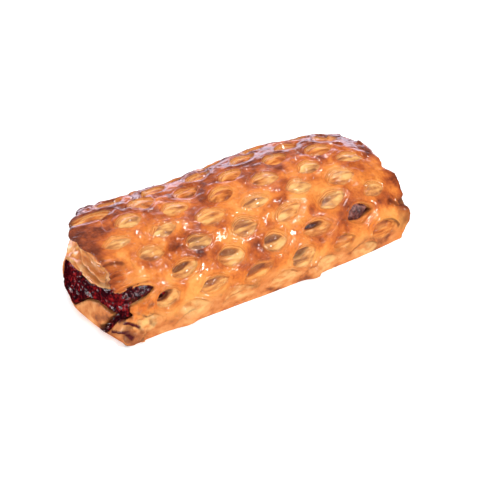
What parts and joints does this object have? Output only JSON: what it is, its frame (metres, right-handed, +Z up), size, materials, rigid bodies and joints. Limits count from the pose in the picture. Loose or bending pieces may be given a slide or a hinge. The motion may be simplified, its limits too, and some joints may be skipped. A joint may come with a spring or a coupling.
{
  "type": "cherry roll",
  "caption": "Baked puff-pastry roll with a domed lattice top of lens-shaped slits, a flat base and cherry filling showing at the ends and in some slits.",
  "frame": {"origin": "middle of the flat underside, on the surface the roll rests on", "axes": "+X along the roll, away from the end where the filling wells out; +Y from the front wall to the back wall; +Z up"},
  "size_m": [0.154, 0.0771, 0.0346],
  "materials": {
    "baked_crust": "glazed golden-brown puff pastry",
    "cherry_filling": "sticky cooked cherry filling"
  },
  "bodies": {
    "root": {"pastry": "baked_crust", "cherry_filling": "cherry_filling"}
  },
  "joints": []
}
